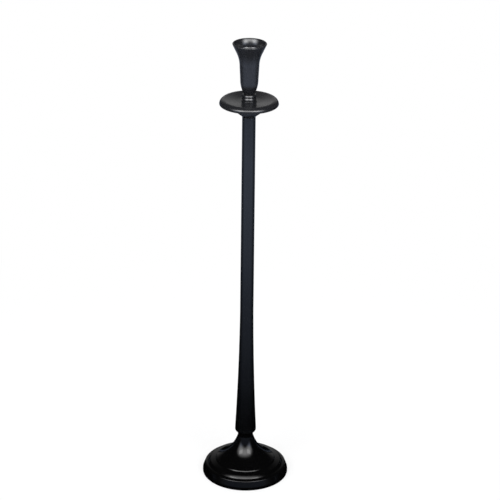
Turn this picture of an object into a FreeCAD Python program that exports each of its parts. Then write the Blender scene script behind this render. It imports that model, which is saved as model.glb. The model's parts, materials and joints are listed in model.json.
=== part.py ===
import FreeCAD, Part
import math
import os

# A tall candlestick: every piece is turned about one upright axis and threaded on a tie rod.
# All sizes are in millimetres. The floor is at height zero and the axis is at radius zero.

# Whole object
overall_height = 700.0

# Candle
candle_radius = 11.0
candle_clearance = 0.25

# Tie rod, nuts and washers: M6
rod_radius = 3.0
rod_chamfer = 0.8
rod_floor_gap = 4.0
rod_hole_clearance = 0.35
thread_clearance = 0.05
nut_across_flats = 10.0
nut_chamfer = 0.7
base_nut_height = 5.2
stack_nut_height = 3.2
lock_washer_width = 2.6
lock_washer_height = 1.6
lock_washer_slit = 1.4
lock_washer_slant = 20.0
base_washer_radius = 12.5
base_washer_height = 1.5

# Fits between the stacked pieces
spigot_clearance = 0.05
spigot_end_gap = 0.4

# Felt pad
felt_height = 2.0
felt_reveal = 0.4
felt_rim = 3.4
felt_clearance = 0.3

# Base
base_radius = 65.8
base_foot_inset = 0.4
base_wall = 4.0
base_height = 69.3
plinth_round_height = 1.2
plinth_straight_height = 2.3
plinth_top_height = 5.5
plinth_top_inset = 0.3
apron_top_height = 13.5
apron_top_inset = 3.3
ledge_heading = 130.0
ledge_height = 15.5
ledge_share = 0.877
bead_heading = 126.0
bead_top_height = 19.9
bead_top_share = 0.819
step_share = 0.7
step_height = 21.4
step_rise = 1.5
step_inset = 1.2
neck_radius = 11.6
neck_straight_height = 6.0
neck_heading = 105.0
base_boss_radius = 9.5
base_boss_height = 19.5
base_rim_height = 8.0
base_hollow_height = 35.0
base_hollow_share = 0.335
base_pilot_radius = 8.0
base_pilot_height = 3.0

# Iron weight in the base
weight_edge_gap = 4.0
weight_floor_gap = 2.0
weight_edge_height = 5.0
weight_web = 5.0
weight_recess_gap = 1.5
weight_hub_wall = 3.0

# Stem
stem_radius = 9.9
stem_foot_radius = 16.1
stem_flare_height = 238.0
stem_wall = 1.8
stem_foot_height = 6.0
stem_foot_bottom_radius = 12.6
stem_foot_round_height = 4.4
stem_foot_spigot = 12.0
pan_seat_spigot = 14.0

# Flared seat under the pan
seat_radius = 16.8
seat_height = 7.3
seat_fillet_height = 1.2
seat_fillet_width = 0.4
seat_edge_height = 1.2
seat_edge_round = 0.5
seat_pilot_radius = 7.0
seat_pilot_height = 2.5

# Drip pan
pan_radius = 43.3
pan_wall = 3.2
pan_depth = 2.9
pan_roll_radius = 6.9
pan_lip_drop = 0.7
pan_lip_round = 0.6
pan_crest_width = 1.7
pan_crest_drop = 0.2
pan_floor_radius = 20.0
pan_floor_rise = 0.5
pan_flat_margin = 0.8
pan_hub_height = 16.7
pan_hub_cove = 5.0

# Collar between pan and cup
collar_height = 11.0
collar_foot_radius = 11.2
collar_foot_height = 1.7
collar_foot_round = 0.5
collar_groove = 0.4
collar_groove_radius = 9.4
collar_ring_height = 4.1
collar_ring_radius = 10.8
collar_ring_undercut = 1.0
collar_ring_edge = 0.8
collar_ring_heading = 110.0
collar_ring_top_radius = 9.6
collar_web = 4.5
collar_pilot_radius = 6.0
collar_pilot_height = 2.0
collar_nut_clearance = 0.7

# Washer under the cup
cup_washer_radius = 7.3
cup_washer_height = 1.3
cup_washer_reveal = 0.7

# Candle cup
cup_height = 76.1
cup_foot_radius = 8.0
cup_body_low_radius = 13.2
cup_body_low_height = 21.0
cup_body_high_radius = 14.2
cup_body_high_height = 41.0
cup_flare_radius = 19.7
cup_flare_height = 63.6
cup_rim_radius = 24.9
cup_rim_wall = 2.5
cup_lip_height = 1.3
cup_thread_depth = 14.0
cup_thread_spare = 1.5
socket_floor_height = 24.1
socket_depth = 26.0
mouth_heading = 238.0
mouth_narrow_radius = 18.2
mouth_depth = 12.6

# How far a cut runs past the material
overrun = 1.0

# Headings in the plane of radius and height, in degrees
outward = 0.0
upward = 90.0
inward = 180.0
downward = 270.0
about_turn = 180.0

# Radii that two pieces share
base_foot_radius = base_radius - base_foot_inset
felt_rebate_radius = base_foot_radius - felt_rim
base_rim_inner_radius = felt_rebate_radius - base_wall
rod_hole_radius = rod_radius + rod_hole_clearance
thread_radius = rod_radius + thread_clearance
nut_corner_radius = nut_across_flats / 2 / math.cos(math.pi / 6)

# Heights of the joints in the stack, from the floor up and from the rim down
base_bottom = felt_reveal
base_top = base_bottom + base_height
stem_bottom = base_top + stem_foot_height
cup_bottom = overall_height - cup_height
collar_top = cup_bottom - cup_washer_reveal
pan_floor = collar_top - collar_height
pan_bottom = pan_floor - pan_hub_height
stem_top = pan_bottom - seat_height


class Outline:
    """A closed outline of radius and height, drawn point by point and then turned about the axis."""

    def __init__(self, radius, height):
        self.start = FreeCAD.Vector(radius, 0, height)
        self.here = self.start
        self.edges = []

    def line(self, radius, height):
        there = FreeCAD.Vector(radius, 0, height)
        self.edges.append(Part.makeLine(self.here, there))
        self.here = there
        return self

    def arc_leaving(self, heading, radius, height):
        there = FreeCAD.Vector(radius, 0, height)
        middle = arc_middle(self.here, there, heading)
        self.edges.append(Part.Arc(self.here, middle, there).toShape())
        self.here = there
        return self

    def arc_arriving(self, heading, radius, height):
        there = FreeCAD.Vector(radius, 0, height)
        middle = arc_middle(there, self.here, heading + about_turn)
        self.edges.append(Part.Arc(self.here, middle, there).toShape())
        self.here = there
        return self

    def turned(self):
        self.line(self.start.x, self.start.z)
        face = Part.Face(Part.Wire(self.edges))
        return face.revolve(FreeCAD.Vector(), FreeCAD.Vector(0, 0, 1), 360)


def arc_middle(start, end, heading):
    """The middle of the arc between two points that leaves the first along a heading."""
    angle = math.radians(heading)
    leaving = FreeCAD.Vector(math.cos(angle), 0, math.sin(angle))
    chord = end - start
    side = leaving - chord * (leaving.dot(chord) / chord.dot(chord))
    rise = chord.Length / 2 * math.tan(leaving.getAngle(chord) / 2)
    return start + chord / 2 + side.normalize() * rise


def ring(inner_radius, outer_radius, bottom, height):
    outline = Outline(inner_radius, bottom)
    outline.line(outer_radius, bottom)
    outline.line(outer_radius, bottom + height)
    outline.line(inner_radius, bottom + height)
    return outline.turned()


def hex_nut(bottom, height):
    corners = []
    for corner in range(7):
        angle = corner * math.pi / 3
        across = nut_corner_radius * math.cos(angle)
        along = nut_corner_radius * math.sin(angle)
        corners.append(FreeCAD.Vector(across, along, bottom))
    prism = Part.Face(Part.makePolygon(corners)).extrude(FreeCAD.Vector(0, 0, height))
    flat_radius = nut_across_flats / 2
    blank = Outline(thread_radius, bottom)
    blank.line(flat_radius, bottom)
    blank.line(nut_corner_radius, bottom + nut_chamfer)
    blank.line(nut_corner_radius, bottom + height - nut_chamfer)
    blank.line(flat_radius, bottom + height)
    blank.line(thread_radius, bottom + height)
    return prism.common(blank.turned()).Solids[0]


def felt_pad():
    return Part.makeCylinder(felt_rebate_radius - felt_clearance, felt_height)


def base_bell():
    """The plinth, apron, bead, step and neck outside, and the hollow and rod boss inside, in one loop."""
    plinth_low = base_bottom + plinth_round_height
    plinth_high = plinth_low + plinth_straight_height
    plinth_top = base_bottom + plinth_top_height
    apron_top = base_bottom + apron_top_height
    apron_top_radius = base_radius - apron_top_inset
    ledge = base_bottom + ledge_height
    bead_top = base_bottom + bead_top_height
    bead_top_radius = base_radius * bead_top_share
    step_radius = base_radius * step_share
    step_bottom = base_bottom + step_height
    step_top = step_bottom + step_rise
    step_top_radius = step_radius - step_inset
    neck = base_top - neck_straight_height
    boss_bottom = base_bottom + base_boss_height
    hollow_top = base_bottom + base_hollow_height

    bell = Outline(felt_rebate_radius, base_bottom)
    bell.line(base_foot_radius, base_bottom)
    bell.arc_arriving(upward, base_radius, plinth_low)
    bell.line(base_radius, plinth_high)
    bell.arc_leaving(upward, base_radius - plinth_top_inset, plinth_top)
    bell.line(apron_top_radius, apron_top)
    bell.arc_leaving(ledge_heading, base_radius * ledge_share, ledge)
    bell.arc_leaving(bead_heading, bead_top_radius, bead_top)
    bell.line(step_radius, step_bottom)
    bell.line(step_top_radius, step_top)
    bell.arc_arriving(neck_heading, neck_radius, neck)
    bell.line(neck_radius, base_top)
    bell.line(base_pilot_radius, base_top)
    bell.line(base_pilot_radius, base_top + base_pilot_height)
    bell.line(rod_hole_radius, base_top + base_pilot_height)
    bell.line(rod_hole_radius, boss_bottom)
    bell.line(base_boss_radius, boss_bottom)
    bell.line(base_boss_radius, hollow_top)
    bell.line(base_radius * base_hollow_share, hollow_top)
    bell.line(step_top_radius - base_wall, step_top - base_wall)
    bell.line(bead_top_radius - base_wall, bead_top - base_wall)
    bell.line(base_rim_inner_radius, base_bottom + base_rim_height)
    bell.line(base_rim_inner_radius, felt_height)
    bell.line(felt_rebate_radius, felt_height)
    return bell.turned()


def base_weight():
    """A thick disc that rises to a hub under the boss, recessed below for the nut and washers."""
    bottom = felt_height + weight_floor_gap
    top = base_bottom + base_boss_height
    edge_radius = base_rim_inner_radius - weight_edge_gap
    recess_radius = base_washer_radius + weight_recess_gap
    weight = Outline(recess_radius, bottom)
    weight.line(edge_radius, bottom)
    weight.line(edge_radius, bottom + weight_edge_height)
    weight.line(recess_radius + weight_hub_wall, top)
    weight.line(rod_hole_radius, top)
    weight.line(rod_hole_radius, top - weight_web)
    weight.line(recess_radius, top - weight_web)
    return weight.turned()


def lock_washer(bottom):
    """A spring washer with a slanted slit."""
    outer_radius = rod_hole_radius + lock_washer_width
    washer = ring(rod_hole_radius, outer_radius, bottom, lock_washer_height)
    slit_height = lock_washer_height * 2 + overrun * 2
    slit = Part.makeBox(outer_radius + overrun, lock_washer_slit, slit_height)
    slit.translate(FreeCAD.Vector(0, -lock_washer_slit / 2, -slit_height / 2))
    slit.rotate(FreeCAD.Vector(), FreeCAD.Vector(1, 0, 0), lock_washer_slant)
    slit.translate(FreeCAD.Vector(0, 0, bottom + lock_washer_height / 2))
    return washer.cut(slit).Solids[0]


def tie_rod():
    bottom = rod_floor_gap
    top = cup_bottom + cup_thread_depth - cup_thread_spare
    rod = Outline(0, bottom)
    rod.line(rod_radius - rod_chamfer, bottom)
    rod.line(rod_radius, bottom + rod_chamfer)
    rod.line(rod_radius, top - rod_chamfer)
    rod.line(rod_radius - rod_chamfer, top)
    rod.line(0, top)
    return rod.turned()


def stem_foot():
    """The rounded end under the stem, with a spigot up into the tube and a recess over the base's pilot."""
    spigot_radius = stem_foot_radius - stem_wall - spigot_clearance
    recess_radius = base_pilot_radius + spigot_clearance
    recess_top = base_top + base_pilot_height + spigot_end_gap
    foot = Outline(recess_radius, base_top)
    foot.line(stem_foot_bottom_radius, base_top)
    foot.arc_arriving(upward, stem_foot_radius, base_top + stem_foot_round_height)
    foot.line(stem_foot_radius, stem_bottom)
    foot.line(spigot_radius, stem_bottom)
    foot.line(spigot_radius, stem_bottom + stem_foot_spigot - spigot_end_gap)
    foot.line(rod_hole_radius, stem_bottom + stem_foot_spigot - spigot_end_gap)
    foot.line(rod_hole_radius, recess_top)
    foot.line(recess_radius, recess_top)
    return foot.turned()


def stem_tube():
    """A thin tube: flared at its lower end, where it is bored out for the foot's spigot."""
    flare_top = stem_bottom + stem_flare_height
    bore_radius = stem_radius - stem_wall
    foot_bore_radius = stem_foot_radius - stem_wall
    foot_bore_top = stem_bottom + stem_foot_spigot
    flare_turn = 2 * math.atan((stem_foot_radius - stem_radius) / stem_flare_height)
    flare_curve = stem_flare_height / math.sin(flare_turn)
    inner_curve = flare_curve + stem_wall
    foot_bore_drop = flare_top - foot_bore_top
    inner_widening = inner_curve - math.sqrt(inner_curve**2 - foot_bore_drop**2)

    tube = Outline(foot_bore_radius, stem_bottom)
    tube.line(stem_foot_radius, stem_bottom)
    tube.arc_arriving(upward, stem_radius, flare_top)
    tube.line(stem_radius, stem_top)
    tube.line(bore_radius, stem_top)
    tube.line(bore_radius, flare_top)
    tube.arc_leaving(downward, bore_radius + inner_widening, foot_bore_top)
    tube.line(foot_bore_radius, foot_bore_top)
    return tube.turned()


def pan_seat():
    """A flared ring with a spigot down into the stem and a pilot up into the pan."""
    spigot_radius = stem_radius - stem_wall - spigot_clearance
    edge_bottom = pan_bottom - seat_edge_height
    seat = Outline(rod_hole_radius, stem_top - pan_seat_spigot)
    seat.line(spigot_radius, stem_top - pan_seat_spigot)
    seat.line(spigot_radius, stem_top)
    seat.line(stem_radius, stem_top)
    seat.arc_leaving(upward, stem_radius + seat_fillet_width, stem_top + seat_fillet_height)
    seat.line(seat_radius - seat_edge_round, edge_bottom)
    seat.arc_arriving(upward, seat_radius, edge_bottom + seat_edge_round)
    seat.line(seat_radius, pan_bottom)
    seat.line(seat_pilot_radius, pan_bottom)
    seat.line(seat_pilot_radius, pan_bottom + seat_pilot_height)
    seat.line(rod_hole_radius, pan_bottom + seat_pilot_height)
    return seat.turned()


def drip_pan():
    """A shallow dish with a rolled rim and a hub below, recessed for the seat's and the collar's pilots."""
    crest = pan_floor + pan_depth
    crest_radius = pan_radius - pan_roll_radius
    roll_bottom = crest - pan_roll_radius
    lip_bottom = roll_bottom - pan_lip_drop
    lip_inner_radius = pan_radius - pan_wall
    underside = pan_floor - pan_wall
    seat_recess_radius = seat_pilot_radius + spigot_clearance
    seat_recess_top = pan_bottom + seat_pilot_height + spigot_end_gap
    collar_recess_radius = collar_pilot_radius + spigot_clearance
    collar_recess_bottom = pan_floor - collar_pilot_height - spigot_end_gap
    flat_radius = collar_foot_radius + pan_flat_margin

    pan = Outline(seat_recess_radius, pan_bottom)
    pan.line(seat_radius, pan_bottom)
    pan.line(seat_radius, underside - pan_hub_cove)
    pan.arc_leaving(upward, seat_radius + pan_hub_cove, underside)
    pan.line(pan_floor_radius + pan_wall, underside)
    pan.line(crest_radius, crest - pan_wall)
    pan.arc_leaving(outward, lip_inner_radius, roll_bottom)
    pan.line(lip_inner_radius, lip_bottom)
    pan.line(pan_radius - pan_lip_round, lip_bottom)
    pan.arc_arriving(upward, pan_radius, lip_bottom + pan_lip_round)
    pan.line(pan_radius, roll_bottom)
    pan.arc_leaving(upward, crest_radius, crest)
    pan.arc_leaving(inward, crest_radius - pan_crest_width, crest - pan_crest_drop)
    pan.line(pan_floor_radius, pan_floor + pan_floor_rise)
    pan.arc_arriving(inward, flat_radius, pan_floor)
    pan.line(collar_recess_radius, pan_floor)
    pan.line(collar_recess_radius, collar_recess_bottom)
    pan.line(rod_hole_radius, collar_recess_bottom)
    pan.line(rod_hole_radius, seat_recess_top)
    pan.line(seat_recess_radius, seat_recess_top)
    return pan.turned()


def neck_collar():
    """A foot ring under two sloped rings, bored out from above for the stack nut."""
    foot_top = pan_floor + collar_foot_height
    high_ring_bottom = collar_top - collar_ring_height
    low_ring_bottom = high_ring_bottom - collar_groove - collar_ring_height
    nut_seat = pan_floor + collar_web
    nut_bore_radius = nut_corner_radius + collar_nut_clearance
    collar = Outline(rod_hole_radius, pan_floor - collar_pilot_height)
    collar.line(collar_pilot_radius, pan_floor - collar_pilot_height)
    collar.line(collar_pilot_radius, pan_floor)
    collar.line(collar_foot_radius, pan_floor)
    collar.line(collar_foot_radius, foot_top - collar_foot_round)
    collar.arc_leaving(upward, collar_foot_radius - collar_foot_round, foot_top)
    collar.line(collar_groove_radius, foot_top)
    for ring_bottom in (low_ring_bottom, high_ring_bottom):
        edge_bottom = ring_bottom + collar_ring_undercut
        edge_top = edge_bottom + collar_ring_edge
        collar.line(collar_groove_radius, ring_bottom)
        collar.line(collar_ring_radius, edge_bottom)
        collar.line(collar_ring_radius, edge_top)
        collar.arc_leaving(collar_ring_heading, collar_ring_top_radius, ring_bottom + collar_ring_height)
    collar.line(nut_bore_radius, collar_top)
    collar.line(nut_bore_radius, nut_seat)
    collar.line(rod_hole_radius, nut_seat)
    return collar.turned()


def candle_cup():
    """A round-bottomed cup that flares to a thin lip, with the socket above and the tapped hole below."""
    recess_radius = cup_washer_radius + spigot_clearance
    recess_top = collar_top + cup_washer_height
    socket_radius = candle_radius + candle_clearance
    socket_floor = cup_bottom + socket_floor_height
    socket_top = socket_floor + socket_depth
    lip_bottom = overall_height - cup_lip_height
    rim_middle_radius = cup_rim_radius - cup_rim_wall / 2
    mouth_bottom = overall_height - mouth_depth

    cup = Outline(recess_radius, cup_bottom)
    cup.line(cup_foot_radius, cup_bottom)
    cup.arc_arriving(upward, cup_body_low_radius, cup_bottom + cup_body_low_height)
    cup.line(cup_body_high_radius, cup_bottom + cup_body_high_height)
    cup.arc_leaving(upward, cup_flare_radius, cup_bottom + cup_flare_height)
    cup.line(cup_rim_radius, lip_bottom)
    cup.arc_arriving(inward, rim_middle_radius, overall_height)
    cup.arc_leaving(inward, cup_rim_radius - cup_rim_wall, lip_bottom)
    cup.arc_leaving(mouth_heading, mouth_narrow_radius, mouth_bottom)
    cup.line(socket_radius, socket_top)
    cup.line(socket_radius, socket_floor)
    cup.line(0, socket_floor)
    cup.line(0, cup_bottom + cup_thread_depth)
    cup.line(thread_radius, cup_bottom + cup_thread_depth)
    cup.line(thread_radius, recess_top)
    cup.line(recess_radius, recess_top)
    return cup.turned()


web_bottom = base_bottom + base_boss_height - weight_web
base_washer_bottom = web_bottom - base_washer_height
lock_washer_bottom = base_washer_bottom - lock_washer_height
base_nut_bottom = lock_washer_bottom - base_nut_height

nodes = {
    "felt_pad": felt_pad(),
    "base_bell": base_bell(),
    "base_weight": base_weight(),
    "base_washer": ring(rod_hole_radius, base_washer_radius, base_washer_bottom, base_washer_height),
    "lock_washer": lock_washer(lock_washer_bottom),
    "base_nut": hex_nut(base_nut_bottom, base_nut_height),
    "tie_rod": tie_rod(),
    "stem_foot": stem_foot(),
    "stem_tube": stem_tube(),
    "pan_seat": pan_seat(),
    "drip_pan": drip_pan(),
    "neck_collar": neck_collar(),
    "stack_nut": hex_nut(pan_floor + collar_web, stack_nut_height),
    "cup_washer": ring(rod_hole_radius, cup_washer_radius, collar_top, cup_washer_height),
    "candle_cup": candle_cup(),
}

os.makedirs("parts", exist_ok=True)
for name, shape in nodes.items():
    shape.exportStep("parts/" + name + ".step")
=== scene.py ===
import bmesh
import bpy
import json
import math
from mathutils import Matrix, Vector

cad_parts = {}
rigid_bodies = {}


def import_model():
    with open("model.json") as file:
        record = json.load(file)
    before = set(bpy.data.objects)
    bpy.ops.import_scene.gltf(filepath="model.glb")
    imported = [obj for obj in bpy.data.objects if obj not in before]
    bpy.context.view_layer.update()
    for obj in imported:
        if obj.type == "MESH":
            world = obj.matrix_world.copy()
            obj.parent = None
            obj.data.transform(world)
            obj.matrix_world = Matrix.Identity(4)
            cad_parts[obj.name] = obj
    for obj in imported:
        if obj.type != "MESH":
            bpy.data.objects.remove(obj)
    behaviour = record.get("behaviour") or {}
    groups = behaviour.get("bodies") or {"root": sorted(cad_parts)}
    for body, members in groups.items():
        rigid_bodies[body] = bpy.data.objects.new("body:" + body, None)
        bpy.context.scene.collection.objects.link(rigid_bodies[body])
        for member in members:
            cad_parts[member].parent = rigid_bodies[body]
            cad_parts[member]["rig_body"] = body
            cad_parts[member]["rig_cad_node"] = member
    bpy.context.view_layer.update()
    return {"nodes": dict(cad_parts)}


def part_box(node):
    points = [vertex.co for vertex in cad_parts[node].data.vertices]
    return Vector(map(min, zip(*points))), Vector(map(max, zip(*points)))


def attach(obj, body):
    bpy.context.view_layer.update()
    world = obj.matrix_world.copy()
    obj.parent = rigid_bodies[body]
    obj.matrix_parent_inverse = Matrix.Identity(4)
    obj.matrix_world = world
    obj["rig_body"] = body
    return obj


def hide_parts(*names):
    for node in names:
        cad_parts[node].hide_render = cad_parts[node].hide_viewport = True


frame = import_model()

# A tall black candlestick. Every painted piece is turned about the upright axis.
# All sizes are in metres, in the frame of the CAD part.

mm = 0.001
touching = 0.001 * mm
axis = (0, 0, 1)
centre = (0, 0, 0)

# Camera, fitted to the photograph. Its angles are in radians.
photo_width = 500
sensor_width = 36.0
focal_pixels = 2117.0
camera_place = (0.0, -2.88358, 1.66483)
camera_pitch = 0.42028
camera_yaw = 0.00132
camera_roll = 0.01152

# Softened edges of the painted pieces
corner_turn = math.radians(22)
straight_turn = math.radians(0.3)
smooth_turn = math.radians(35)
corner_segments = 4
paint_round = 0.35 * mm
joint_round = 0.15 * mm
washer_round = 0.2 * mm

# Thread of the tie rod
thread_pitch = 1.0 * mm
thread_depth = 0.55 * mm
thread_crest = 0.18 * mm
thread_length = 46 * mm
thread_steps = 28
thread_spare_turns = 4
shank_inset = 0.3 * mm
rod_chamfer = 0.8 * mm
rod_around = 48
rod_smooth_turn = math.radians(25)

# Felt
felt_edge_round = 0.5 * mm
felt_edge_segments = 3
felt_fray = 0.06 * mm
felt_around = 240
felt_rings = 5

# Stage and lights
floor_radius = 7.0
floor_around = 96
floor_gap = 0.2 * mm
lamp_aim = (0.0, 0.0, 0.36)
lamp_distance = 4.0
lamp_width = 1.6
lamp_height = 0.8
lamp_power = 16.0
lamp_azimuths = (math.radians(-38), math.radians(31))
lamp_elevation = math.radians(36)
panel_glow = 6.3
panel_tilt = math.radians(25)
panel_inner_edge = (-1.0, -0.05)
panel_outer_edge = (0.05, 0.75)
panel_upper_edge = (0.04, 0.35)
panel_side = (0.1, 0.4)
panel_matt_share = 0.7
backdrop_glow = 0.45
backdrop_depth = (0.0, 0.3)
backdrop_edge = (0.15, 0.6)
backdrop_foot = (0.04, 0.12)
backdrop_head = (0.2, 0.7)
horizon_glow = 0.3
horizon_depth = (-0.8, -0.2)
horizon_head = (0.3, 0.5)
overhead_height = (0.2, 1.0)
overhead_glow = (0.05, 0.9)
dim_glow = 0.012
white = (1, 1, 1, 1)
cool = (0.62, 0.74, 1.0, 1)

# Floor: its shadow near the object, and how pale the paint mirrors it
floor_colour = (0.9, 0.9, 0.9, 1)
shadow_reach = (0.1, 0.9)
shadow_white = 0.7
mirror_reach = (0.27, 1.52)
mirror_end = (1.56, 1.72)
mirror_end_level = 0.05
mirror_front = (-0.35, 0.6)
mirror_side_level = 0.15
mirror_back = (-0.9, -0.5)
mirror_back_level = 0.25


def deselect():
    if bpy.context.mode != "OBJECT":
        bpy.ops.object.mode_set(mode="OBJECT")
    bpy.ops.object.select_all(action="DESELECT")


def pick(piece):
    deselect()
    piece.select_set(True)
    bpy.context.view_layer.objects.active = piece


def work_on(piece):
    pick(piece)
    bpy.ops.object.mode_set(mode="EDIT")
    bpy.ops.mesh.select_mode(type="VERT")


def select_points(piece, wanted):
    """Selects the points of the piece being edited that pass a test, and says how many."""
    mesh = bmesh.from_edit_mesh(piece.data)
    for point in mesh.verts:
        point.select = False
    mesh.select_flush(False)
    found = [point for point in mesh.verts if wanted(point)]
    for point in found:
        point.select = True
    mesh.select_flush(True)
    bmesh.update_edit_mesh(piece.data)
    return len(found)


def turn_at(point):
    """How far an outline turns at one of its points."""
    if len(point.link_edges) != 2:
        return math.pi
    before, after = (edge.other_vert(point).co for edge in point.link_edges)
    return (point.co - before).angle(after - point.co)


def merge_and_face_out():
    bpy.ops.mesh.select_all(action="SELECT")
    bpy.ops.mesh.remove_doubles(threshold=touching)
    bpy.ops.mesh.select_all(action="SELECT")
    bpy.ops.mesh.normals_make_consistent(inside=False)


def smooth(piece, angle=smooth_turn):
    pick(piece)
    bpy.ops.object.shade_smooth_by_angle(angle=angle)
    weighted = piece.modifiers.new("even_shading", "WEIGHTED_NORMAL")
    weighted.keep_sharp = True
    bpy.ops.object.modifier_apply(modifier=weighted.name)


def copy_of(node, name):
    pick(frame["nodes"][node])
    bpy.ops.object.duplicate()
    piece = bpy.context.view_layer.objects.active
    bpy.ops.object.parent_clear(type="CLEAR_KEEP_TRANSFORM")
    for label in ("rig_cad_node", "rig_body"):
        del piece[label]
    piece.name = name
    piece.data.name = name
    piece.data.materials.clear()
    return piece


def turn_again(node, name, rounding, around):
    """Cuts a turned CAD node down to its half outline, rounds the corners and spins it again."""
    piece = copy_of(node, name)
    work_on(piece)
    bpy.ops.mesh.select_all(action="SELECT")
    bpy.ops.mesh.remove_doubles(threshold=touching)
    bpy.ops.mesh.select_all(action="SELECT")
    bpy.ops.mesh.bisect(plane_co=centre, plane_no=(1, 0, 0), clear_inner=True, threshold=touching)
    bpy.ops.mesh.select_all(action="SELECT")
    bpy.ops.mesh.bisect(
        plane_co=centre, plane_no=(0, 1, 0), clear_inner=True, clear_outer=True, threshold=touching
    )
    if select_points(piece, lambda point: turn_at(point) < straight_turn):
        bpy.ops.mesh.dissolve_verts()
    round_corners(piece, rounding)
    bpy.ops.mesh.select_all(action="SELECT")
    bpy.ops.mesh.spin(steps=around, angle=2 * math.pi, center=centre, axis=axis)
    merge_and_face_out()
    smooth(piece)
    return piece


def round_corners(piece, rounding):
    mesh = bmesh.from_edit_mesh(piece.data)
    corners = [
        point.co.copy()
        for point in mesh.verts
        if turn_at(point) > corner_turn and point.co.x > touching
    ]
    for corner in corners:
        select_points(piece, lambda point: (point.co - corner).length < touching)
        bpy.ops.mesh.bevel(
            offset=rounding, segments=corner_segments, affect="VERTICES", clamp_overlap=True
        )


class Signal:
    """A value that changes over a surface. Sums on it add Math nodes to its finish."""

    def __init__(self, finish, socket):
        self.finish = finish
        self.socket = socket

    def maths(self, operation, first, second):
        return self.finish.node("ShaderNodeMath", {"operation": operation}, {0: first, 1: second})

    def __add__(self, other):
        return self.maths("ADD", self, other)

    def __radd__(self, other):
        return self.maths("ADD", other, self)

    def __sub__(self, other):
        return self.maths("SUBTRACT", self, other)

    def __rsub__(self, other):
        return self.maths("SUBTRACT", other, self)

    def __mul__(self, other):
        return self.maths("MULTIPLY", self, other)

    def __rmul__(self, other):
        return self.maths("MULTIPLY", other, self)

    def __truediv__(self, other):
        return self.maths("DIVIDE", self, other)


class Finish:
    """The nodes of one finish, of the floor or of the world."""

    def __init__(self, tree):
        self.tree = tree
        tree.nodes.clear()

    def node(self, kind, settings, sockets, output=0):
        made = self.tree.nodes.new(kind)
        for name, value in settings.items():
            setattr(made, name, value)
        for name, value in sockets.items():
            if isinstance(value, Signal):
                self.tree.links.new(value.socket, made.inputs[name])
            else:
                made.inputs[name].default_value = value
        return Signal(self, made.outputs[output]) if made.outputs else None

    def place(self):
        return self.node("ShaderNodeTexCoord", {}, {}, "Object")

    def part_of(self, vector, letter):
        return self.node("ShaderNodeSeparateXYZ", {}, {"Vector": vector}, letter)

    def radius(self, place):
        flat = self.node(
            "ShaderNodeVectorMath", {"operation": "MULTIPLY"}, {0: place, 1: (1, 1, 0)}
        )
        return self.node("ShaderNodeVectorMath", {"operation": "LENGTH"}, {0: flat}, "Value")

    def along(self, vector, direction):
        sockets = {0: vector, 1: direction}
        return self.node("ShaderNodeVectorMath", {"operation": "DOT_PRODUCT"}, sockets, "Value")

    def size_of(self, value):
        return self.node("ShaderNodeMath", {"operation": "ABSOLUTE"}, {0: value})

    def noise(self, place, scale, detail=2.0):
        return self.node(
            "ShaderNodeTexNoise", {}, {"Vector": place, "Scale": scale, "Detail": detail}, "Fac"
        )

    def cells(self, place, scale):
        return self.node(
            "ShaderNodeTexVoronoi", {}, {"Vector": place, "Scale": scale}, "Distance"
        )

    def stretch(self, place, scale):
        return self.node("ShaderNodeMapping", {}, {"Vector": place, "Scale": scale})

    def ramp(self, value, low, high, low_gives=0.0, high_gives=1.0):
        return self.node(
            "ShaderNodeMapRange",
            {"interpolation_type": "SMOOTHSTEP"},
            {0: value, 1: low, 2: high, 3: low_gives, 4: high_gives},
        )

    def slope(self, value, low, high):
        return self.node("ShaderNodeMapRange", {}, {0: value, 1: low, 2: high, 3: 0.0, 4: 1.0})

    def rays(self):
        kinds = ("Is Camera Ray", "Is Glossy Ray", "Is Transmission Ray")
        seen, glossy, through = (self.node("ShaderNodeLightPath", {}, {}, kind) for kind in kinds)
        return seen, glossy + through

    def blend(self, amount, first, second):
        return self.node(
            "ShaderNodeMix", {"data_type": "RGBA"}, {0: amount, 6: first, 7: second}, 2
        )

    def bump(self, height, strength, depth):
        return self.node(
            "ShaderNodeBump", {}, {"Height": height, "Strength": strength, "Distance": depth}
        )

    def surface(self, sockets):
        shader = self.node("ShaderNodeBsdfPrincipled", {}, sockets)
        self.node("ShaderNodeOutputMaterial", {}, {"Surface": shader})


def new_finish(name):
    material = bpy.data.materials.new(name)
    material.use_nodes = True
    return material, Finish(material.node_tree)


def black_paint(name, colour, shine, roughness, dusty, rubbed):
    """Sprayed black paint: a fine orange peel, clouded sheen, dust on top and rubbed edges."""
    material, paint = new_finish(name)
    place = paint.place()
    cloud = paint.noise(place, scale=22, detail=5)
    peel = paint.noise(place, scale=620, detail=2)
    grit = paint.noise(place, scale=3200, detail=2)
    height = paint.part_of(place, "Z")
    facing = paint.node("ShaderNodeNewGeometry", {}, {}, "Normal")
    lying = paint.ramp(paint.part_of(facing, "Z"), low=0.55, high=0.98)
    dust = lying * paint.ramp(paint.noise(place, scale=260, detail=6), low=0.5, high=0.75)
    rub = paint.ramp(paint.noise(place, scale=480, detail=5), low=0.58, high=0.7)
    near = 0.0
    for level, reach in rubbed:
        near = near + paint.ramp(paint.size_of(height - level), low=reach, high=0.0)
    rub = rub * near
    thin = [level * 0.8 for level in colour] + [1]
    thick = [level * 1.25 for level in colour] + [1]
    shade = paint.blend(cloud, thin, thick)
    shown = paint.blend(rub, paint.blend(dust * dusty, shade, dust_grey), bare_metal)
    relief = peel * 0.75 + grit * 0.25 - rub * 0.6
    paint.surface(
        {
            "Base Color": shown,
            "Roughness": roughness + (cloud - 0.5) * 0.12 + dust * dusty + rub * 0.1,
            "IOR": shine,
            "Normal": paint.bump(relief, strength=0.1, depth=0.15 * mm),
        }
    )
    return material


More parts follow.
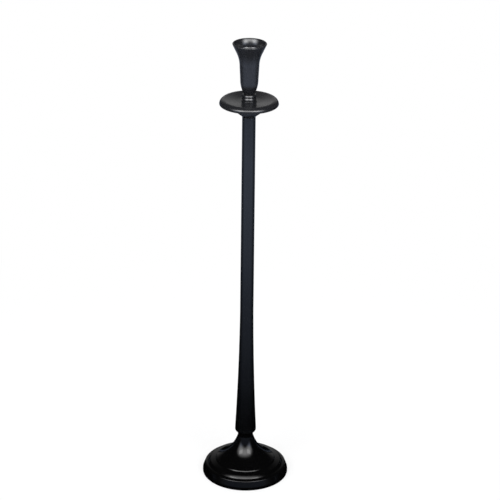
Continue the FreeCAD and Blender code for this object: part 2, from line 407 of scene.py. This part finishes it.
def zinc_plate():
    material, zinc = new_finish("zinc_plate")
    place = zinc.place()
    spangle = zinc.cells(place, scale=900)
    stain = zinc.noise(place, scale=120, detail=5)
    scratch = zinc.noise(zinc.stretch(place, (900, 900, 90)), scale=1.0, detail=3)
    shade = zinc.blend(stain, (0.46, 0.47, 0.48, 1), (0.62, 0.62, 0.61, 1))
    zinc.surface(
        {
            "Base Color": zinc.blend(spangle * 0.4, shade, (0.5, 0.52, 0.55, 1)),
            "Roughness": 0.28 + stain * 0.2 + scratch * 0.08,
            "Metallic": 1.0,
            "Normal": zinc.bump(scratch, strength=0.15, depth=0.05 * mm),
        }
    )
    return material


def cast_iron():
    material, iron = new_finish("cast_iron")
    place = iron.place()
    sand = iron.noise(place, scale=900, detail=6)
    pits = iron.ramp(iron.cells(place, scale=420), low=0.0, high=0.35)
    rust = iron.ramp(iron.noise(place, scale=60, detail=6), low=0.56, high=0.72)
    shade = iron.blend(sand, (0.09, 0.088, 0.085, 1), (0.15, 0.145, 0.14, 1))
    iron.surface(
        {
            "Base Color": iron.blend(rust * 0.6, shade, (0.14, 0.06, 0.03, 1)),
            "Roughness": 0.6 + sand * 0.2 + rust * 0.15,
            "Metallic": 0.85 - rust * 0.7,
            "Normal": iron.bump(sand * 0.5 + pits, strength=0.5, depth=0.4 * mm),
        }
    )
    return material


def wool_felt():
    material, felt = new_finish("wool_felt")
    place = felt.place()
    tuft = felt.noise(place, scale=380, detail=4)
    along = felt.noise(felt.stretch(place, (2600, 420, 900)), scale=1.0, detail=4)
    across = felt.noise(felt.stretch(place, (420, 2600, 900)), scale=1.0, detail=4)
    fibres = along * 0.5 + across * 0.5
    worn = felt.noise(place, scale=30, detail=3)
    shade = felt.blend(fibres, (0.012, 0.014, 0.012, 1), (0.055, 0.062, 0.056, 1))
    felt.surface(
        {
            "Base Color": felt.blend(worn * 0.35, shade, (0.04, 0.042, 0.04, 1)),
            "Roughness": 0.88 + tuft * 0.1,
            "Sheen Weight": 0.35,
            "Sheen Roughness": 0.5,
            "Normal": felt.bump(fibres * 0.7 + tuft * 0.3, strength=0.7, depth=0.3 * mm),
        }
    )
    return material


def fibre_board():
    material, fibre = new_finish("fibre_board")
    place = fibre.place()
    strand = fibre.noise(fibre.stretch(place, (700, 2200, 2200)), scale=1.0, detail=5)
    speck = fibre.noise(place, scale=1500, detail=3)
    fibre.surface(
        {
            "Base Color": fibre.blend(strand, (0.035, 0.03, 0.027, 1), (0.085, 0.07, 0.062, 1)),
            "Roughness": 0.55 + speck * 0.25,
            "Normal": fibre.bump(strand * 0.6 + speck * 0.4, strength=0.35, depth=0.1 * mm),
        }
    )
    return material


def draw_outline(name, points):
    """Starts from one point and extrudes it along an outline of radius and height."""
    deselect()
    radius, height = points[0]
    bpy.ops.mesh.primitive_plane_add(size=mm, location=(radius, 0, height))
    piece = bpy.context.view_layer.objects.active
    piece.name = name
    piece.data.name = name
    pick(piece)
    bpy.ops.object.transform_apply(location=True, rotation=True, scale=True)
    work_on(piece)
    bpy.ops.mesh.select_all(action="SELECT")
    bpy.ops.mesh.merge(type="CENTER")
    for (radius, height), (next_radius, next_height) in zip(points, points[1:]):
        step = (next_radius - radius, 0, next_height - height)
        bpy.ops.mesh.extrude_region_move(TRANSFORM_OT_translate={"value": step})
    bpy.ops.mesh.select_all(action="SELECT")
    return piece


def threaded_end(name, crest_radius, bottom, top):
    """A right-hand thread: one tooth, screwed down the rod and cut flat at both ends."""
    root_radius = crest_radius - thread_depth
    flank = (thread_pitch - 2 * thread_crest) / 2
    start = top + thread_pitch
    tooth = [
        (root_radius, start),
        (root_radius, start + thread_crest),
        (crest_radius, start + thread_crest + flank),
        (crest_radius, start + 2 * thread_crest + flank),
        (root_radius, start + thread_pitch),
    ]
    piece = draw_outline(name, tooth)
    turns = math.ceil((top - bottom) / thread_pitch) + thread_spare_turns
    bpy.ops.mesh.screw(steps=thread_steps, turns=turns, center=centre, axis=(0, 0, -1))
    merge_and_face_out()
    for height, upward in ((bottom, -1), (top, 1)):
        bpy.ops.mesh.select_all(action="SELECT")
        bpy.ops.mesh.bisect(
            plane_co=(0, 0, height), plane_no=(0, 0, upward), clear_outer=True, use_fill=True
        )
    bpy.ops.mesh.select_all(action="SELECT")
    bpy.ops.mesh.normals_make_consistent(inside=False)
    deselect()
    return piece


def spun(name, points, around):
    piece = draw_outline(name, points)
    bpy.ops.mesh.spin(steps=around, angle=2 * math.pi, center=centre, axis=axis)
    merge_and_face_out()
    deselect()
    return piece


def cut_with(piece, tool, operation):
    pick(piece)
    joint = piece.modifiers.new("joint", "BOOLEAN")
    joint.operation = operation
    joint.solver = "EXACT"
    joint.object = tool
    bpy.ops.object.modifier_apply(modifier=joint.name)
    pick(tool)
    bpy.ops.object.delete()


def threaded_rod():
    low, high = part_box("tie_rod")
    radius, bottom, top = high.x, low.z, high.z
    shank_radius = radius - shank_inset
    overlap = thread_pitch
    rod = spun(
        "threaded_rod",
        [
            (0, bottom + thread_length - overlap),
            (shank_radius, bottom + thread_length - overlap),
            (shank_radius, top - thread_length + overlap),
            (0, top - thread_length + overlap),
        ],
        rod_around,
    )
    ends = ((bottom - overlap, bottom + thread_length), (top - thread_length, top + overlap))
    for end_bottom, end_top in ends:
        thread = threaded_end("thread", radius, end_bottom, end_top)
        cut_with(rod, thread, "UNION")
    blank = spun(
        "blank",
        [
            (0, bottom),
            (radius - rod_chamfer, bottom),
            (radius + overlap, bottom + rod_chamfer + overlap),
            (radius + overlap, top - rod_chamfer - overlap),
            (radius - rod_chamfer, top),
            (0, top),
        ],
        rod_around,
    )
    cut_with(rod, blank, "INTERSECT")
    work_on(rod)
    bpy.ops.mesh.select_all(action="SELECT")
    bpy.ops.mesh.dissolve_degenerate(threshold=2 * touching)
    deselect()
    return rod


def felt_disc():
    low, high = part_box("felt_pad")
    radius, height = high.x, high.z - low.z
    deselect()
    bpy.ops.mesh.primitive_circle_add(
        vertices=felt_around, radius=radius - felt_fray, fill_type="NGON", location=(0, 0, low.z)
    )
    felt = bpy.context.view_layer.objects.active
    felt.name = "felt_disc"
    pick(felt)
    bpy.ops.object.transform_apply(location=True, rotation=True, scale=True)
    work_on(felt)
    bpy.ops.mesh.select_mode(type="FACE")
    bpy.ops.mesh.select_all(action="SELECT")
    bpy.ops.mesh.extrude_region_move(TRANSFORM_OT_translate={"value": (0, 0, height)})
    bpy.ops.mesh.select_mode(type="VERT")
    bpy.ops.mesh.select_all(action="SELECT")
    bpy.ops.mesh.normals_make_consistent(inside=False)
    bpy.ops.mesh.select_mode(type="EDGE")
    edges = bmesh.from_edit_mesh(felt.data)
    for edge in edges.edges:
        edge.select = abs(edge.verts[0].co.z - edge.verts[1].co.z) < touching
    bmesh.update_edit_mesh(felt.data)
    bpy.ops.mesh.bevel(offset=felt_edge_round, segments=felt_edge_segments, affect="EDGES")
    bpy.ops.mesh.select_mode(type="FACE")
    faces = bmesh.from_edit_mesh(felt.data)
    for face in faces.faces:
        face.select = abs(face.normal.z) > 0.99 and len(face.verts) > 4
    bmesh.update_edit_mesh(felt.data)
    for ring in range(felt_rings):
        bpy.ops.mesh.inset(thickness=radius / (felt_rings + 1), depth=0)
    bpy.ops.mesh.select_mode(type="VERT")
    middle = low.z + height / 2
    inside = height / 2 - touching
    select_points(felt, lambda point: abs(point.co.z - middle) < inside)
    bpy.ops.transform.vertex_random(offset=felt_fray, seed=4)
    deselect()
    smooth(felt)
    return felt


def dress(piece, finish, slot, body, *nodes):
    piece.data.materials.clear()
    piece.data.materials.append(finish)
    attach(piece, body)
    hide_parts(*nodes)


def repaint(node, finish):
    materials = frame["nodes"][node].data.materials
    materials.clear()
    materials.append(finish)


def lamp_direction(azimuth, elevation):
    flat = math.cos(elevation)
    return Vector((math.sin(azimuth) * flat, -math.cos(azimuth) * flat, math.sin(elevation)))


# Finishes
rim_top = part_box("candle_cup")[1].z
pan_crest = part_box("drip_pan")[1].z
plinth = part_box("base_bell")[0].z
dust_grey = (0.09, 0.09, 0.09, 1)
bare_metal = (0.075, 0.073, 0.07, 1)
satin_black = black_paint(
    "satin_black_paint",
    (0.014, 0.0144, 0.0166),
    shine=1.6,
    roughness=0.22,
    dusty=0.06,
    rubbed=((rim_top, 0.7 * mm), (pan_crest, 0.35 * mm)),
)
# Painted shade: the stem and its foot get a copy of the satin paint with less than a tenth of its
# colour, so that they look shaded
stem_shaded_satin_paint = black_paint(
    "stem_satin_paint_painted_shade",
    (0.0012, 0.0013, 0.0016),
    shine=1.7,
    roughness=0.2,
    dusty=0.02,
    rubbed=(),
)
gloss_black = black_paint(
    "gloss_black_paint",
    (0.001, 0.001, 0.0011),
    shine=1.38,
    roughness=0.12,
    dusty=0.01,
    rubbed=((plinth, 1.6 * mm),),
)
zinc = zinc_plate()
iron = cast_iron()
wool = wool_felt()
fibre = fibre_board()

# Painted pieces, turned again with softened edges
turned_pieces = (
    ("base_bell", "turned_base", "stand", 192, paint_round, gloss_black, "gloss_black"),
    # The stem foot and the stem take the darkened copy of the satin paint, which is painted shade
    ("stem_foot", "turned_stem_foot", "stand", 128, joint_round, stem_shaded_satin_paint, "satin_black"),
    ("stem_tube", "tapered_stem", "stand", 128, joint_round, stem_shaded_satin_paint, "satin_black"),
    ("pan_seat", "turned_pan_seat", "stand", 128, joint_round, satin_black, "satin_black"),
    ("drip_pan", "dished_pan", "stand", 192, paint_round, satin_black, "satin_black"),
    ("neck_collar", "turned_collar", "stand", 128, paint_round, satin_black, "satin_black"),
    ("cup_washer", "loose_washer", "washer", 96, washer_round, fibre, "fibre"),
    ("candle_cup", "flared_cup", "cup", 160, paint_round, satin_black, "satin_black"),
)
for node, name, body, around, rounding, finish, slot in turned_pieces:
    dress(turn_again(node, name, rounding, around), finish, slot, body, node)

# Rod and felt
rod = threaded_rod()
smooth(rod, rod_smooth_turn)
dress(rod, zinc, "zinc_steel", "stand", "tie_rod")
felt = felt_disc()
dress(felt, wool, "felt", "stand", "felt_pad")

# Pieces inside the base and the collar keep their CAD shape
repaint("base_weight", iron)
for node in ("base_washer", "lock_washer", "base_nut", "stack_nut"):
    repaint(node, zinc)

# Floor
deselect()
bpy.ops.mesh.primitive_circle_add(
    vertices=floor_around, radius=floor_radius, fill_type="NGON", location=(0, 0, -floor_gap)
)
floor = bpy.context.view_layer.objects.active
floor.name = "floor"
material, ground = new_finish("pale_floor")
seen, mirrored = ground.rays()
place = ground.place()
reach = ground.radius(place)
frontward = ground.part_of(place, "Y") * -1.0 / reach
fore = ground.ramp(reach, *mirror_end, 1.0, mirror_end_level)
fore = fore * ground.ramp(frontward, *mirror_front, mirror_side_level, 1.0)
back = ground.ramp(frontward, *mirror_back, mirror_back_level, 0.0)
pale = ground.slope(reach, *mirror_reach) * (fore + back)
lit = ground.node(
    "ShaderNodeEmission",
    {},
    {"Color": ground.blend(seen, cool, white), "Strength": seen + mirrored * pale},
)
matt = ground.node("ShaderNodeBsdfDiffuse", {}, {"Color": floor_colour})
share = seen * ground.ramp(reach, *shadow_reach, shadow_white, 1.0) + mirrored
both = ground.node("ShaderNodeMixShader", {}, {0: share, 1: matt, 2: lit})
ground.node("ShaderNodeOutputMaterial", {}, {"Surface": both})
floor.data.materials.append(material)

# World: two soft panels and a cool horizon in front, a pale band low at the back, soft light from
# above, and white for the camera
world = bpy.data.worlds.new("studio")
bpy.context.scene.world = world
world.use_nodes = True
sky = Finish(world.node_tree)
seen, mirrored = sky.rays()
way = sky.node("ShaderNodeTexCoord", {}, {}, "Generated")
depth = sky.part_of(way, "Y")
height = sky.part_of(way, "Z")
sideways = sky.size_of(sky.part_of(way, "X"))
behind = sky.ramp(depth, *backdrop_depth) * sky.ramp(sideways, *backdrop_edge, 1.0, 0.0)
behind = behind * sky.ramp(height, *backdrop_foot) * sky.ramp(height, *backdrop_head, 1.0, 0.0)
before = sky.ramp(depth, *horizon_depth, 1.0, 0.0) * sky.ramp(height, *horizon_head, 1.0, 0.0)
above = sky.ramp(height, *overhead_height, *overhead_glow)
glow = behind * backdrop_glow + before * horizon_glow + dim_glow
for azimuth in lamp_azimuths:
    aim = lamp_direction(azimuth, lamp_elevation)
    level = Vector((math.cos(azimuth), math.sin(azimuth), 0))
    tilt = Matrix.Rotation(math.copysign(panel_tilt, -azimuth), 3, aim)
    outward = tilt @ level * math.copysign(1, azimuth)
    toward = sky.along(way, aim)
    across = sky.along(way, outward) / toward
    up = sky.size_of(sky.along(way, outward.cross(aim)) / toward)
    panel = sky.ramp(across, *panel_inner_edge) * sky.ramp(across, *panel_outer_edge, 1.0, 0.0)
    panel = panel * sky.ramp(up, *panel_upper_edge, 1.0, 0.0) * sky.ramp(toward, *panel_side)
    glow = glow + panel * panel_glow
matt_light = glow * panel_matt_share + above
strength = seen + mirrored * glow + (1 - seen - mirrored) * matt_light
tint = sky.blend(before * (1 - seen), white, cool)
sky_light = sky.node("ShaderNodeBackground", {}, {"Color": tint, "Strength": strength})
sky.node("ShaderNodeOutputWorld", {}, {"Surface": sky_light})

# A softbox in the middle of each panel
for azimuth in lamp_azimuths:
    away = lamp_direction(azimuth, lamp_elevation)
    bpy.ops.object.light_add(type="AREA", location=Vector(lamp_aim) + away * lamp_distance)
    lamp = bpy.context.view_layer.objects.active
    lamp.name = "softbox_left" if azimuth < 0 else "softbox_right"
    lamp.data.shape = "RECTANGLE"
    lamp.data.size = lamp_width
    lamp.data.size_y = lamp_height
    lamp.data.energy = lamp_power
    lamp.visible_camera = False
    lamp.rotation_mode = "QUATERNION"
    lamp.rotation_quaternion = (-away).to_track_quat("-Z", "Y")

# Camera
bpy.ops.object.camera_add()
camera = bpy.context.view_layer.objects.active
camera.name = "photo_camera"
camera.data.sensor_width = sensor_width
camera.data.lens = focal_pixels / photo_width * sensor_width
turn = (
    Matrix.Rotation(-camera_yaw, 4, "Z")
    @ Matrix.Rotation(math.pi / 2 - camera_pitch, 4, "X")
    @ Matrix.Rotation(camera_roll, 4, "Z")
)
camera.matrix_world = Matrix.Translation(camera_place) @ turn
bpy.context.scene.camera = camera
bpy.context.scene.view_settings.view_transform = "Standard"

deselect()
